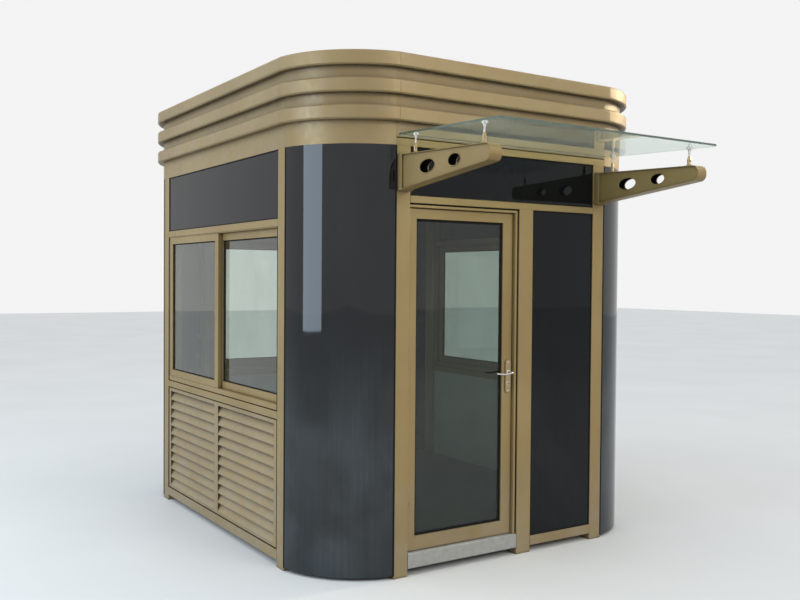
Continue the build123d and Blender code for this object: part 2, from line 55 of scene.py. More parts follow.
# camera, fitted to the photograph's wall lines: its place in metres and its turns in degrees
CAMERA_PLACE = (-3.6896, -5.5564, 1.7501)
CAMERA_YAW = 33.0493
CAMERA_PITCH = -1.318
CAMERA_ROLL = 0.430
FOCAL_PIXELS = 913.0
IMAGE_WIDTH = 800
SENSOR_WIDTH = 36


def aim_camera():
    """The camera: yaw turns from +Y towards +X, pitch is upwards, and roll lifts its right side."""
    yaw, pitch, roll = radians(CAMERA_YAW), radians(CAMERA_PITCH), radians(CAMERA_ROLL)
    forward = Vector((sin(yaw) * cos(pitch), cos(yaw) * cos(pitch), sin(pitch)))
    level = Vector((cos(yaw), -sin(yaw), 0))
    upright = level.cross(forward)
    right = cos(roll) * level + sin(roll) * upright
    up = -sin(roll) * level + cos(roll) * upright
    data = bpy.data.cameras.new("photo_camera")
    data.sensor_width = SENSOR_WIDTH
    data.lens = FOCAL_PIXELS / IMAGE_WIDTH * SENSOR_WIDTH
    camera = bpy.data.objects.new("photo_camera", data)
    scene.collection.objects.link(camera)
    turn = Matrix((right, up, -forward)).transposed()
    camera.matrix_world = Matrix.Translation(CAMERA_PLACE) @ turn.to_4x4()
    scene.camera = camera


aim_camera()


# node trees of the materials and the sky
MIX_FIRST = 6  # the Mix node's sockets for colours
MIX_SECOND = 7
MIX_RESULT = 2
OPENNESS_SAMPLES = 6
BEVEL_SAMPLES = 4
SEEN_RAYS = ("Is Camera Ray", "Is Glossy Ray", "Is Transmission Ray")


class Shading:
    """Short calls for the nodes of one tree."""

    def __init__(self, tree):
        self.tree = tree

    def node(self, kind, **inputs):
        """A new node with these inputs."""
        made = self.tree.nodes.new("ShaderNode" + kind)
        for name, value in inputs.items():
            self.feed(made.inputs[name], value)
        return made

    def feed(self, socket, value):
        """Gives a socket its value, or links it where the value comes from another node."""
        if isinstance(value, bpy.types.NodeSocket):
            self.tree.links.new(value, socket)
        else:
            socket.default_value = value

    def span(self, value, low, high, to_low=0, to_high=1):
        """A value read between low and high, as one between to_low and to_high."""
        made = self.node("MapRange")
        for socket, number in zip(made.inputs[:5], (value, low, high, to_low, to_high)):
            self.feed(socket, number)
        return made.outputs[0]

    def maths(self, operation, first, second=0.0):
        """The result of an operation on one or two values."""
        made = self.node("Math")
        made.operation = operation
        self.feed(made.inputs[0], first)
        self.feed(made.inputs[1], second)
        return made.outputs[0]

    def mix(self, share, first, second):
        """A colour between two colours."""
        made = self.node("Mix")
        made.data_type = "RGBA"
        self.feed(made.inputs[0], share)
        for socket, colour in ((made.inputs[MIX_FIRST], first), (made.inputs[MIX_SECOND], second)):
            self.feed(socket, colour if isinstance(colour, bpy.types.NodeSocket) else (*colour, 1))
        return made.outputs[MIX_RESULT]

    def blend(self, share, first, second):
        """A shader between two shaders."""
        made = self.node("MixShader")
        for socket, value in zip(made.inputs, (share, first, second)):
            self.feed(socket, value)
        return made.outputs[0]

    def seen_share(self):
        """1 for rays from the camera, a mirror or through glass, and 0 for rays that only carry light."""
        path = self.node("LightPath")
        share = path.outputs[SEEN_RAYS[0]]
        for ray in SEEN_RAYS[1:]:
            share = self.maths("MAXIMUM", share, path.outputs[ray])
        return share


class Finish(Shading):
    """A material on a Principled shader, with its colour, roughness and relief from nodes."""

    def __init__(self, name, **settings):
        self.material = bpy.data.materials.new(name)
        self.material.use_nodes = True
        super().__init__(self.material.node_tree)
        self.shader = self.tree.nodes["Principled BSDF"]
        self.output = self.tree.nodes["Material Output"]
        self.place = self.node("TexCoord").outputs["Object"]
        for socket, value in settings.items():
            self.set(socket.replace("_", " ").title().replace("Ior", "IOR"), value)

    def set(self, name, value):
        """Sets or links one input of the Principled shader."""
        self.feed(self.shader.inputs[name], value)

    def noise(self, scale, detail, stretch=(1, 1, 1), warp=0):
        """Noise from 0 to 1; scale is in cells per metre, stretch divides it along X, Y and Z."""
        mapping = self.node("Mapping", Vector=self.place)
        mapping.inputs["Scale"].default_value = [scale / part for part in stretch]
        field = self.node("TexNoise", Vector=mapping.outputs[0], Scale=1, Detail=detail, Distortion=warp)
        return field.outputs[0]

    def axis(self, letter):
        """One coordinate of the place on the object, in metres."""
        return self.node("SeparateXYZ", Vector=self.place).outputs["XYZ".index(letter)]

    def openness(self, distance):
        """1 in the open and less in joints and corners narrower than distance."""
        made = self.node("AmbientOcclusion", Distance=distance)
        made.samples = OPENNESS_SAMPLES
        return made.outputs["AO"]

    def relief(self, height, distance, strength, rounded=0.0):
        """Small bumps of this depth, over edges that catch light as if rounded."""
        bump = self.node("Bump", Strength=strength, Distance=distance, Height=height)
        if rounded:
            bevel = self.node("Bevel", Radius=rounded)
            bevel.samples = BEVEL_SAMPLES
            self.feed(bump.inputs["Normal"], bevel.outputs[0])
        self.set("Normal", bump.outputs[0])


# materials
PAINT_DEEP = (0.300, 0.203, 0.070)
PAINT_LIGHT = (0.350, 0.246, 0.096)
# grime and painted shade: the colour that joints, corners and recesses darken towards
GRIME_AND_SHADE_COLOUR = (0.060, 0.040, 0.020)
DUST_AND_SKY_LIGHT_TONE = (0.36, 0.34, 0.30)
DUST_HEIGHT = 0.7  # above the ground
DUST_AT_GROUND = 0.45
GRIME_AND_SHADE_FADE = 0.6


def painted_metal(name, dust_and_sky_light, joint_reach, joint_open=0.85):
    """Satin champagne paint: soft clouds, fine grain, dust low down, a set share of pale tone higher up that
    is partly painted sky light where it is raised, and grime with painted shade in joints, corners and
    recesses up to joint_reach wide, down to nothing where they are as open as joint_open."""
    finish = Finish(name, metallic=0.25)
    clouds = finish.noise(1.7, 4)
    grain = finish.noise(420, 2)
    colour = finish.mix(finish.span(clouds, 0.35, 0.65), PAINT_DEEP, PAINT_LIGHT)
    # pale tone: dust near the ground; higher up a set share, raised on the crown and louvres, where it is
    # partly dust and partly painted sky light
    low_down = finish.span(finish.axis("Z"), 0.0, DUST_HEIGHT, DUST_AT_GROUND, dust_and_sky_light)
    dust = finish.maths("MULTIPLY", low_down, finish.span(finish.noise(9, 5), 0.3, 0.7, 0.3, 1))
    colour = finish.mix(dust, colour, DUST_AND_SKY_LIGHT_TONE)
    # painted shade with some real grime: darker where the surface is hemmed in, as in joints, in the crown's
    # recesses, under the slats' lips and under the arms' flanges
    joints = finish.span(finish.openness(joint_reach), joint_open - GRIME_AND_SHADE_FADE, joint_open)
    finish.set("Base Color", finish.mix(joints, GRIME_AND_SHADE_COLOUR, colour))
    finish.set("Roughness", finish.span(finish.noise(30, 3), 0.3, 0.7, 0.36, 0.50))
    finish.relief(grain, 0.0003, 0.35, rounded=0.003)
    return finish.material


GLASS_BODY = (0.004, 0.005, 0.006)
# the paler film: partly dust, partly a painted reflection of the ground
GLASS_FILM = (0.20, 0.25, 0.28)
FILM_FOOT = 0.1  # the film is full up to here, and thins out up to FILM_TOP
FILM_TOP = 1.5
FILM_AT_TOP = 0.10
FILM_THINS_BELOW = 0.6  # under this the film is thinner again
FILM_AT_GROUND = 0.45
STREAKS = (1, 1, 40)


def black_glass(name, film, shine):
    """Dark mirror glass: a nearly black body under a paler film that runs down in streaks, thickest low down,
    partly dust and partly a painted reflection of the ground.
    """
    finish = Finish(name, specular_ior_level=shine)
    streaks = finish.noise(60, 3, stretch=STREAKS)
    cloud = finish.noise(2.2, 5, stretch=(1, 1, 1.6), warp=0.6)
    # paler low down, partly dust and partly painted reflection of the ground, and thinner again at the very
    # foot
    low_down = finish.span(finish.axis("Z"), FILM_FOOT, FILM_TOP, 1, FILM_AT_TOP)
    veil = finish.maths("MULTIPLY", low_down, finish.span(cloud, 0.38, 0.66, 0.30, 1))
    veil = finish.maths("MULTIPLY", veil, finish.span(streaks, 0.3, 0.7, 0.72, 1))
    thinner_near_ground = finish.span(finish.axis("Z"), 0.0, FILM_THINS_BELOW, FILM_AT_GROUND, 1)
    share = finish.maths("MULTIPLY", finish.maths("MULTIPLY", veil, thinner_near_ground), film)
    finish.set("Base Color", finish.mix(share, GLASS_BODY, GLASS_FILM))
    finish.set("Roughness", finish.span(share, 0, 1, 0.03, 0.5))
    finish.relief(finish.noise(5, 2, stretch=STREAKS, warp=0.4), 0.002, 0.5)
    return finish.material


SMEAR_SHADE = 0.92
HAZE_COLOUR = (0.80, 0.84, 0.78)


def clear_glass(name, tint, edge_tint=None, dust=0.0):
    """Window glass that lets lamps through, with a trace of smears and, if asked, a dark edge
    and a film of dust that light from above shines through."""
    finish = Finish(name, transmission_weight=1.0, ior=1.45)
    smear = finish.noise(4, 4, stretch=(1, 1, 2), warp=0.5)
    finish.set("Roughness", finish.span(smear, 0.45, 0.8, 0.0, 0.02))
    shade = tuple(SMEAR_SHADE * part for part in tint)
    colour = finish.mix(finish.span(smear, 0.3, 0.7), tint, shade)
    if edge_tint:
        normal = finish.node("NewGeometry").outputs["Normal"]
        facing = finish.node("SeparateXYZ", Vector=normal).outputs["Z"]
        edge = finish.span(finish.maths("ABSOLUTE", facing), 0.3, 0.6, 1, 0)
        colour = finish.mix(edge, colour, edge_tint)
    finish.set("Base Color", colour)
    lamps = finish.node("BsdfTransparent", Color=(*tint, 1))
    body = finish.shader.outputs[0]
    if dust:
        haze = finish.node("BsdfTranslucent", Color=(*HAZE_COLOUR, 1)).outputs[0]
        share = finish.span(finish.noise(6, 5), 0.3, 0.7, 0.7 * dust, 1.3 * dust)
        body = finish.blend(share, body, haze)
    shadow = finish.node("LightPath").outputs["Is Shadow Ray"]
    finish.feed(finish.output.inputs[0], finish.blend(shadow, body, lamps.outputs[0]))
    return finish.material


MARK_SHADE = 0.72
MARK_ROUGHNESS = 0.14


def bright_metal(name, colour, rough):
    """Polished or satin metal with fine handling marks."""
    finish = Finish(name, metallic=1.0)
    marks = finish.noise(160, 3, stretch=(1, 1, 6))
    dull = tuple(MARK_SHADE * part for part in colour)
    finish.set("Base Color", finish.mix(finish.span(marks, 0.4, 0.75), colour, dull))
    finish.set("Roughness", finish.span(marks, 0.3, 0.7, rough, rough + MARK_ROUGHNESS))
    finish.relief(marks, 0.0001, 0.3, rounded=0.001)
    return finish.material


GRIME_SHADE = 0.55
ROUGHNESS_SPREAD = 0.08


def matt_sheet(name, colour, spots, rough, depth, scale, shine=0.4):
    """Plain matt stuff such as rubber, lining, stone or galvanised sheet, with small spots."""
    finish = Finish(name, specular_ior_level=shine)
    speckle = finish.noise(scale, 5)
    cloud = finish.noise(2.5, 4)
    tone = finish.mix(finish.span(speckle, 0.42, 0.68), colour, spots)
    grime = tuple(GRIME_SHADE * part for part in colour)
    finish.set("Base Color", finish.mix(finish.span(cloud, 0.45, 0.85, 0, 0.5), tone, grime))
    smooth, coarse = rough - ROUGHNESS_SPREAD, rough + ROUGHNESS_SPREAD
    finish.set("Roughness", finish.span(speckle, 0.3, 0.7, smooth, coarse))
    finish.relief(speckle, depth, 0.6, rounded=0.002)
    return finish.material


STUD_PITCH = 0.056
STUD_GROUND = (0.055, 0.070, 0.065)
STUD_WORN = (0.095, 0.105, 0.098)
STUD_TOP = (0.17, 0.185, 0.17)


def studded_sheet(name):
    """Dark floor covering with a close pattern of small raised diamonds, set slantwise."""
    finish = Finish(name, specular_ior_level=0.4)
    along, across = finish.axis("X"), finish.axis("Y")
    waves = []
    for slant in (finish.maths("ADD", along, across), finish.maths("SUBTRACT", along, across)):
        waves.append(finish.maths("SINE", finish.maths("MULTIPLY", slant, 2 * pi / STUD_PITCH)))
    stud = finish.span(finish.maths("MULTIPLY", *waves), 0.10, 0.45)
    wear = finish.span(finish.noise(5, 5), 0.35, 0.7)
    ground = finish.mix(wear, STUD_GROUND, STUD_WORN)
    finish.set("Base Color", finish.mix(stud, ground, STUD_TOP))
    finish.set("Roughness", finish.span(stud, 0, 1, 0.62, 0.42))
    finish.relief(stud, 0.0015, 0.8)
    return finish.material


CANOPY_TINT = (0.84, 0.93, 0.88)
CANOPY_EDGE = (0.16, 0.34, 0.27)
# copies of the paint that differ in dust and in painted shade: joint_reach sets how wide a hollow is darkened
# as if shaded
PAINT = painted_metal("gold_paint_satin", dust_and_sky_light=0.06, joint_reach=0.024)
DOOR_PAINT = painted_metal("gold_paint_door", dust_and_sky_light=0.06, joint_reach=0.007)
ARM_PAINT = painted_metal("gold_paint_arms", dust_and_sky_light=0.06, joint_reach=0.045)
# the crown and louvres: paler high up, partly dust and partly painted sky light, and with the deepest painted
# shade in their hollows
CROWN_PAINT = painted_metal("gold_paint_crown", dust_and_sky_light=0.23, joint_reach=0.095, joint_open=0.80)
LOUVRE_PAINT = painted_metal("gold_paint_dusty", dust_and_sky_light=0.34, joint_reach=0.050, joint_open=1.0)
CORNER_GLASS = black_glass("corner_glass_black", film=0.36, shine=0.45)
FLAT_GLASS = black_glass("flat_glass_black", film=0.07, shine=0.18)
WINDOW_GLASS = clear_glass("window_glass_clear", (0.72, 0.79, 0.74))
DOOR_GLASS = clear_glass("door_glass_clear", (0.34, 0.40, 0.36))
CANOPY_GLASS = clear_glass("canopy_glass_green", CANOPY_TINT, edge_tint=CANOPY_EDGE, dust=0.055)
STEEL = bright_metal("polished_steel", (0.72, 0.71, 0.68), rough=0.12)
BRASS = bright_metal("satin_brass", (0.42, 0.32, 0.18), rough=0.24)
# the numbers after a matt sheet's two colours: roughness, depth of its spots, spots per metre, shine
RUBBER = matt_sheet("black_rubber", (0.004, 0.004, 0.004), (0.010, 0.010, 0.010), 0.6, 0.0004, 300, 0.15)
STONE = matt_sheet("pale_stone", (0.44, 0.44, 0.41), (0.38, 0.38, 0.355), 0.75, 0.0010, 25)
ZINC = matt_sheet("zinc_sheet", (0.33, 0.34, 0.35), (0.28, 0.29, 0.30), 0.5, 0.0003, 40)
LINING = matt_sheet("pale_lining_board", (0.46, 0.45, 0.40), (0.39, 0.38, 0.34), 0.6, 0.0003, 90)
DECK = studded_sheet("floor_covering")
# nearly black sheets inside the arms: primer that also paints the shade of the hollows seen through the holes
PRIMER_AND_SHADE = matt_sheet("dark_primer", (0.020, 0.018, 0.016), (0.032, 0.029, 0.025), 0.7, 0.0002, 150, 0.1)

NODE_FINISH = {
    "gold_paint": PAINT,
    "dark_glass": FLAT_GLASS,
    "window_glass": WINDOW_GLASS,
    "door_glass": DOOR_GLASS,
    "canopy_glass": CANOPY_GLASS,
    "hardware": STEEL,
    "pale_threshold": STONE,
    "grey_metal": ZINC,
    "pale_lining": LINING,
    "floor_sheet": DECK,
}
for node_name, node in nodes.items():
    for slot in node.material_slots:
        slot.material = NODE_FINISH[slot.material.name]
        if node_name.endswith("corner_glass"):
            slot.material = CORNER_GLASS
        elif node_name.endswith("louvre_panel"):
            slot.material = LOUVRE_PAINT
        elif node_name.startswith("crown"):
            slot.material = CROWN_PAINT
        elif node_name in ("door_frame", "door_leaf", "hinge_leaves", "hinge_posts"):
            slot.material = DOOR_PAINT
        elif node_name == "lock_plates":
            slot.material = BRASS


# mesh helpers
INWARDS = Vector((0, 1, 0))  # from the front wall into the booth
SQUARE = ((-1, -1), (1, -1), (1, 1), (-1, 1))  # signs of a rectangle's corners, in turn
SAME_PLACE = 1e-6


def piece(name, shape, material, body, smooth_to=35):
    """A finished mesh object that rides on a body; edges under smooth_to degrees are shaded round."""
    bmesh.ops.recalc_face_normals(shape, faces=shape.faces)
    mesh = bpy.data.meshes.new(name)
    shape.to_mesh(mesh)
    shape.free()
    mesh.materials.append(material)
    mesh.shade_smooth()
    mesh.set_sharp_from_angle(angle=radians(smooth_to))
    made = bpy.data.objects.new(name, mesh)
    scene.collection.objects.link(made)
    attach(made, body)
    return made


def skin(shape, loops, closed=False):
    """Faces between loops of points, one after another; closed joins the last loop to the first,
    and otherwise both end loops are filled."""
    rows = [[shape.verts.new(point) for point in loop] for loop in loops]
    next_rows = rows[1:] + rows[:1] if closed else rows[1:]
    for row, following in zip(rows, next_rows):
        for index in range(len(row)):
            after = (index + 1) % len(row)
            shape.faces.new((row[index], row[after], following[after], following[index]))
    if not closed:
        shape.faces.new(rows[0])
        shape.faces.new(rows[-1])


def circle(centre, across, along, radius, count):
    """Points round a circle in the plane of two directions."""
    turns = [2 * pi * step / count for step in range(count)]
    return [centre + radius * (cos(turn) * across + sin(turn) * along) for turn in turns]


def turned(shape, base, axis, profile, count):
    """A turned solid with count sides: profile holds (distance along the axis, radius) pairs."""
    axis = axis.normalized()
    across = axis.orthogonal().normalized()
    along = axis.cross(across)
    loops = [circle(base + distance * axis, across, along, radius, count) for distance, radius in profile]
    skin(shape, loops)


def rod(shape, start, end, radius, count=12):
    """A straight round rod between two points."""
    along = end - start
    turned(shape, start, along, ((0, radius), (along.length, radius)), count)


def thin_axis(low, high):
    """The level axis, 0 for X or 1 for Y, across which an upright pane or frame is thin."""
    return 0 if high.x - low.x < high.y - low.y else 1


def loose_boxes(node_name):
    """The box of each separate solid of a node, from low X, Y and Z upwards."""
    shape = bmesh.new()
    shape.from_mesh(nodes[node_name].data)
    bmesh.ops.remove_doubles(shape, verts=shape.verts, dist=SAME_PLACE)
    left = set(shape.verts)
    boxes = []
    while left:
        group, reached = set(), [left.pop()]
        while reached:
            vert = reached.pop()
            group.add(vert)
            near = {link.other_vert(vert) for link in vert.link_edges} & left
            left -= near
            reached.extend(near)
        low = Vector([min(vert.co[axis] for vert in group) for axis in range(3)])
        high = Vector([max(vert.co[axis] for vert in group) for axis in range(3)])
        boxes.append((low, high))
    shape.free()
    return sorted(boxes, key=lambda box: tuple(box[0]))


def ring(shape, low, high, thin, level, profile):
    """A mitred rubber ring round a pane: profile holds (inset from the pane's edge, height) pairs
    and level is the pane's face, across the pane's thin axis; heights grow away from the pane."""
    wide = 1 - thin
    outward = 1 if level > (low[thin] + high[thin]) / 2 else -1
    loops = []
    for margin, height in profile:
        left, right = low[wide] + margin, high[wide] - margin
        bottom, top = low.z + margin, high.z - margin
        loop = []
        for across, up in ((left, bottom), (right, bottom), (right, top), (left, top)):
            point = Vector((0, 0, up))
            point[wide] = across
            point[thin] = level + outward * height
            loop.append(point)
        loops.append(loop)
    skin(shape, loops, closed=True)


# black gaskets on both faces of every pane that sits in a frame
GASKET_CROWN = 0.7  # share of the width that stands at full height
GASKET_LIP = 0.95  # share of the width where the lip starts
LIP_HEIGHT = 0.35  # share of the full height
GASKETS = {
    # node: (body, visible width, height over the glass)
    "door_glass": ("door", 0.014, 0.004),
    "sidelight_glass": ("booth", 0.009, 0.004),
    "transom_glass": ("booth", 0.008, 0.004),
    "left_window_panes": ("booth", 0.008, 0.003),
    "right_window_panes": ("booth", 0.008, 0.003),
    "back_window_panes": ("booth", 0.008, 0.003),
}
for node_name, (body, width, height) in GASKETS.items():
    shape = bmesh.new()
    crown, lip = (GASKET_CROWN * width, height), (GASKET_LIP * width, LIP_HEIGHT * height)
    profile = ((0, 0), (0, height), crown, lip, (width, 0))
    for low, high in loose_boxes(node_name):
        thin = thin_axis(low, high)
        for level in (low[thin], high[thin]):
            ring(shape, low, high, thin, level, profile)
    piece(node_name.replace("glass", "").strip("_") + "_gaskets", shape, RUBBER, body)

# black beads where the curved glass meets the posts, and at both ends of the threshold
BEAD_RADIUS = 0.0065
BEAD_SINK = 0.003
THRESHOLD_BEAD = 0.003
booth_middle = (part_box("crown_wall")[0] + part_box("crown_wall")[1]) / 2
shape = bmesh.new()
for node_name in nodes:
    if node_name.endswith("corner_glass"):
        low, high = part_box(node_name)
        x_out, x_in = (low.x, high.x) if low.x < booth_middle.x else (high.x, low.x)
        y_out, y_in = (low.y, high.y) if low.y < booth_middle.y else (high.y, low.y)
        sink_x = BEAD_SINK if x_out < booth_middle.x else -BEAD_SINK
        sink_y = BEAD_SINK if y_out < booth_middle.y else -BEAD_SINK
        for x, y in ((x_in, y_out + sink_y), (x_out + sink_x, y_in)):
            rod(shape, Vector((x, y, low.z)), Vector((x, y, high.z)), BEAD_RADIUS)
low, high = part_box("threshold")
y = low.y + THRESHOLD_BEAD
for x in (low.x, high.x):
    rod(shape, Vector((x, y, low.z)), Vector((x, y, high.z)), THRESHOLD_BEAD)
piece("corner_beads", shape, RUBBER, "booth")

# sealant in the upright joints between the posts and the window and louvre frames
SEALANT_WIDTH = 0.010
SEALANT_DEPTH = 0.006
SEALANT_DOME = 0.001
SEALANT_SINK = 0.0004
SEALANT_LOW = 0.103  # top of the bottom rails
SEALANT_HIGH = 2.063  # underside of the rails over the windows
SEALANT_PROFILE = (
    # (share of the width, depth behind the dome's top)
    (0, SEALANT_DEPTH),
    (0, SEALANT_DOME),
    (0.2, 0),
    (0.8, 0),
    (1, SEALANT_DOME),
    (1, SEALANT_DEPTH),
)
shape = bmesh.new()
for node_name in ("left_wall_frame", "right_wall_frame", "back_wall_frame"):
    low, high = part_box(node_name)
    thin = thin_axis(low, high)
    wide = 1 - thin
    outward = 1 if low[thin] > booth_middle[thin] else -1
    face = (low if outward < 0 else high)[thin] - outward * SEALANT_SINK
    for edge, inward in ((low[wide], 1), (high[wide], -1)):
        section = []
        for share, depth in SEALANT_PROFILE:
            point = Vector((0, 0))
            point[wide] = edge + inward * share * SEALANT_WIDTH
            point[thin] = face - outward * depth
            section.append(point)
        skin(shape, [[Vector((*point, level)) for point in section] for level in (SEALANT_LOW, SEALANT_HIGH)])
piece("upright_sealant", shape, RUBBER, "booth")

# bulb seals: in the groove round the door frame, and on the stops behind the leaf
SEAL_RADIUS = 0.0048
SEAL_GAP = 0.0005
STOP_SEAL_RADIUS = 0.002
STOP_LAP = 0.004
frame_low, frame_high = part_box("door_frame")
leaf_low, leaf_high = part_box("door_leaf")
groove_y = frame_low.y + SEAL_RADIUS + SEAL_GAP
groove_corner = Vector((frame_high.x - SEAL_RADIUS, groove_y, frame_high.z - SEAL_RADIUS))
stop_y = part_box("door_stops")[0].y
stop_left = Vector((leaf_low.x + STOP_LAP, stop_y, leaf_high.z - STOP_LAP))
stop_right = Vector((leaf_high.x - STOP_LAP, stop_y, leaf_high.z - STOP_LAP))
shape = bmesh.new()
rod(shape, Vector((groove_corner.x, groove_y, frame_low.z)), groove_corner, SEAL_RADIUS)
rod(shape, Vector((frame_low.x, groove_y, groove_corner.z)), groove_corner, SEAL_RADIUS)
for corner in (stop_left, stop_right):
    rod(shape, Vector((corner.x, stop_y, leaf_low.z)), corner, STOP_SEAL_RADIUS)
rod(shape, stop_left, stop_right, STOP_SEAL_RADIUS)
piece("door_seals", shape, RUBBER, "booth")

# lever handle: a collar, a neck with a ball end, and a bowed bar on each face of the leaf
lever_joint = next(joint for joint in frame["joints"] if joint["name"] == "lever_turn")
lever_axis = Vector(lever_joint["pos_m"])
lever_low, lever_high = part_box("door_lever")
plate_low, plate_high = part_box("lock_plates")
CYLINDER_PROUD = 0.005  # how far the lock cylinder stands out of the plates
LEVER_SHORTER = 0.012  # by how much the bar's middle line is shorter than the plain lever's box
LEVER_REACH = lever_high.x - lever_low.x - LEVER_SHORTER
LEVER_SAG = 0.007
BAR_RADIUS = 0.0066
BAR_ROOT = 0.92  # share of BAR_RADIUS at the root
BAR_TAPER = 0.14  # share of BAR_RADIUS lost along the bar
BAR_TIP = 0.35  # share of the tapered radius left at the tip's end
BAR_ROUNDING = 0.25  # share of the length over which the tip is rounded
BAR_STEPS = 28
BALL_RADIUS = 0.0085
BALL_STEPS = 12
POLE_RADIUS = 0.0004
SPINDLE_RADIUS = 0.0062
NECK_RADIUS = 0.0070
COLLAR = ((0, 0.0150), (0.004, 0.0150), (0.006, 0.0135), (0.007, 0.0085), (0.016, NECK_RADIUS))


def bar_radius(share):
    """The bar's radius at a share of its length: a slight taper, then a rounded tip."""
    left = min(1.0, (1 - share) / BAR_ROUNDING)
    tip = BAR_TIP + (1 - BAR_TIP) * (1 - (1 - left) ** 3)
    return BAR_RADIUS * (BAR_ROOT - BAR_TAPER * share) * tip


def swept(shape, middles, radii, count):
    """A round bar with count sides through points in an upright plane along X."""
    loops = []
    for index, middle in enumerate(middles):
        ahead = middles[min(index + 1, len(middles) - 1)]
        behind = middles[max(index - 1, 0)]
        upward = (ahead - behind).normalized().cross(INWARDS).normalized()
        loops.append(circle(middle, upward, INWARDS, radii[index], count))
    skin(shape, loops)


def ball(radius):
    """The profile of a turned ball, from pole to pole."""
    turns = [pi * step / BALL_STEPS for step in range(BALL_STEPS + 1)]
    return [(radius * (1 - cos(turn)), max(POLE_RADIUS, radius * sin(turn))) for turn in turns]


def on_lever_axis(y):
    """The point of the lever's axis at Y."""
    return Vector((lever_axis.x, y, lever_axis.z))


shape = bmesh.new()
plate_faces = (plate_low.y + CYLINDER_PROUD, plate_high.y - CYLINDER_PROUD)
for face_y, lever_y in zip(plate_faces, (lever_low.y, lever_high.y)):
    outward = 1 if lever_y > face_y else -1
    bar_y = lever_y - outward * BAR_RADIUS
    neck_end = (abs(bar_y - face_y), NECK_RADIUS)
    turned(shape, on_lever_axis(face_y), Vector((0, outward, 0)), (*COLLAR, neck_end), 28)
    shares = [step / BAR_STEPS for step in range(BAR_STEPS + 1)]
    middles = []
    for share in shares:
        drop = LEVER_SAG * sin(pi * share)
        middles.append(Vector((lever_axis.x - share * LEVER_REACH, bar_y, lever_axis.z - drop)))
    swept(shape, middles, [bar_radius(share) for share in shares], 20)
    turned(shape, on_lever_axis(bar_y - BALL_RADIUS), INWARDS, ball(BALL_RADIUS), 24)
rod(shape, on_lever_axis(plate_low.y), on_lever_axis(plate_high.y), SPINDLE_RADIUS, 20)
lever = piece("lever_handles", shape, STEEL, "lever")
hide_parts("door_lever")

# lock plate fittings: domed screws, a rim round the cylinder and its keyhole
PLATE_SCREW_INSET = 0.013
CYLINDER_BELOW = 0.072  # under the lever's axis
SCREW_DOME = ((0, 0.0048), (0.0012, 0.0046), (0.0024, 0.0034), (0.0030, 0.0014))
CYLINDER_RIM = ((0, 0.0125), (0.0026, 0.0122), (0.0038, 0.0108), (0.0038, 0.0090))
KEYHOLE_WIDTH = 0.0022
KEYHOLE_HEIGHT = 0.0100
KEYHOLE_PROUD = 0.0003
KEYHOLE_DEPTH = 0.002
screws, keyholes = bmesh.new(), bmesh.new()
for end_y, outward in ((plate_low.y, -1), (plate_high.y, 1)):
    face_y = end_y - outward * CYLINDER_PROUD
    away = Vector((0, outward, 0))
    for z in (plate_high.z - PLATE_SCREW_INSET, plate_low.z + PLATE_SCREW_INSET):
        turned(screws, Vector((lever_axis.x, face_y, z)), away, SCREW_DOME, 20)
    cylinder = Vector((lever_axis.x, face_y, lever_axis.z - CYLINDER_BELOW))
    turned(screws, cylinder, away, CYLINDER_RIM, 28)
    corners = []
    for side, end in SQUARE:
        x, z = cylinder.x + side * KEYHOLE_WIDTH / 2, cylinder.z + end * KEYHOLE_HEIGHT / 2
        corners.append(Vector((x, end_y + outward * KEYHOLE_PROUD, z)))
    skin(keyholes, [[corner - KEYHOLE_DEPTH * away for corner in corners], corners])
piece("lock_screws", screws, STEEL, "door")
piece("keyholes", keyholes, RUBBER, "door")

# canopy arms: a plate wrapped round a nose, deeper set side panels and rims round their holes
ARM_REACH = 0.845
ARM_TOP = 2.468
ARM_ROOT = 0.205
ARM_TIP = 0.088
ARM_WIDTH = 0.080
ARM_SHEET = 0.004
ARM_NOSE = 0.040
ARM_BASE = 0.040
BASE_LIP = 0.002
BASE_BEVEL = 0.002
BACKING = 0.001
PANEL_INSET = 0.011
CANOPY_FALL = 0.033
HOLES = ((0.280, 0.147, 0.075), (0.530, 0.112, 0.065))  # from the wall, length, height
RIM = (
    # (growth round the hole, height over the panel)
    (-0.0010, -0.003),
    (-0.0010, 0.0015),
    (0.0010, 0.003),
    (0.0040, 0.003),
    (0.0055, 0.0015),
    (0.0055, -0.001),
)
HOLE_POINTS = 40
ARC_STEPS = 10
wall_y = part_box("front_posts")[0].y
arm_low, arm_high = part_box("canopy_arms")
arm_x = (arm_high.x - arm_low.x - ARM_WIDTH) / 2 - BASE_LIP
arm_bottom = ARM_TOP - ARM_ROOT
tip_top = ARM_TOP - CANOPY_FALL * ARM_REACH
middle_slope = ((tip_top - ARM_TIP / 2) - (ARM_TOP - ARM_ROOT / 2)) / ARM_REACH


def corner_facts(points, index):
    """A corner of a polygon: the point, the ways to its neighbours, and half the angle there."""
    point = points[index]
    back = (points[index - 1] - point).normalized()
    on = (points[(index + 1) % len(points)] - point).normalized()
    return point, back, on, back.angle(on) / 2


def inset(points, amount):
    """A convex polygon moved inwards on all sides."""
    moved = []
    for index in range(len(points)):
        point, back, on, half = corner_facts(points, index)
        moved.append(point + (back + on).normalized() * amount / sin(half))
    return moved


def rounded(points, radii):
    """A polygon whose corners with a radius are turned into arcs."""
    outline = []
    for index, radius in enumerate(radii):
        point, back, on, half = corner_facts(points, index)
        if not radius:
            outline.append(point)
            continue
        centre = point + (back + on).normalized() * radius / sin(half)
        reach = radius / tan(half)
        first, last = point + back * reach - centre, point + on * reach - centre
        for step in range(ARC_STEPS + 1):
            share = step / ARC_STEPS
            spoke = first * (1 - share) + last * share
            outline.append(centre + spoke.normalized() * radius)
    return outline


def arm_point(out, up, x):
    """Out from the front wall, up and across, as a point of the frame."""
    return Vector((x, wall_y - out, up))


